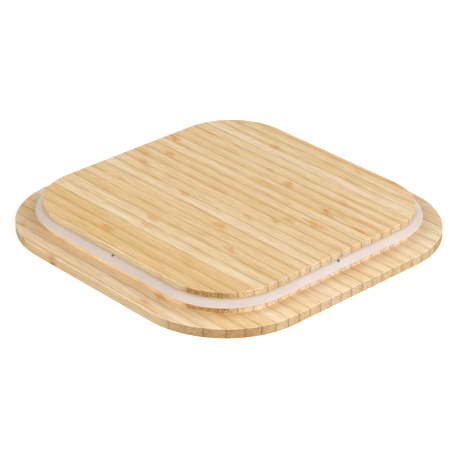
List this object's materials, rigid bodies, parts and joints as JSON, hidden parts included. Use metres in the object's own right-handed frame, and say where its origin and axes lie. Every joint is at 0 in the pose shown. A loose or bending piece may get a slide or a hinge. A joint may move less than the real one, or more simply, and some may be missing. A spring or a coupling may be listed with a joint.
{
  "type": "food container lid",
  "caption": "Square bamboo lid with round corners, a raised plug, a ledge for the container's rim and a soft seal ring in a groove round the plug.",
  "frame": {"origin": "centre of the cover's outer face, which lies on z = 0 (the lid lies upside down, as it is put down on a table)", "axes": "+Z from the cover's outer face towards the plug; +X along the bamboo strips; +Y across them"},
  "size_m": [0.15, 0.15, 0.0136],
  "materials": {
    "bamboo": "finely sanded, matt, straight grain along X with end grain on the X sides",
    "silicone": "milky translucent silicone, satin"
  },
  "bodies": {
    "board": {"strip_01": "bamboo", "strip_02": "bamboo", "strip_03": "bamboo", "strip_03_flange": "bamboo", "strip_04": "bamboo", "strip_05": "bamboo", "strip_06": "bamboo", "strip_07": "bamboo", "strip_08": "bamboo", "strip_09": "bamboo", "strip_10": "bamboo", "strip_11": "bamboo", "strip_12": "bamboo", "strip_13": "bamboo", "strip_14": "bamboo", "strip_15": "bamboo", "strip_16": "bamboo", "strip_17": "bamboo", "strip_18": "bamboo", "strip_19": "bamboo", "strip_20": "bamboo", "strip_21": "bamboo", "strip_22": "bamboo", "strip_23": "bamboo", "strip_24": "bamboo", "strip_25": "bamboo", "strip_25_flange": "bamboo", "strip_26": "bamboo", "strip_27": "bamboo"},
    "seal_ring": {"seal": "silicone"}
  },
  "joints": [
    {"name": "seal_pull_off", "type": "slide", "parent": "board", "child": "seal_ring", "axis": [0, 0, 1], "range_m": [0, 0.02], "deforming": ["seal"]}
  ]
}
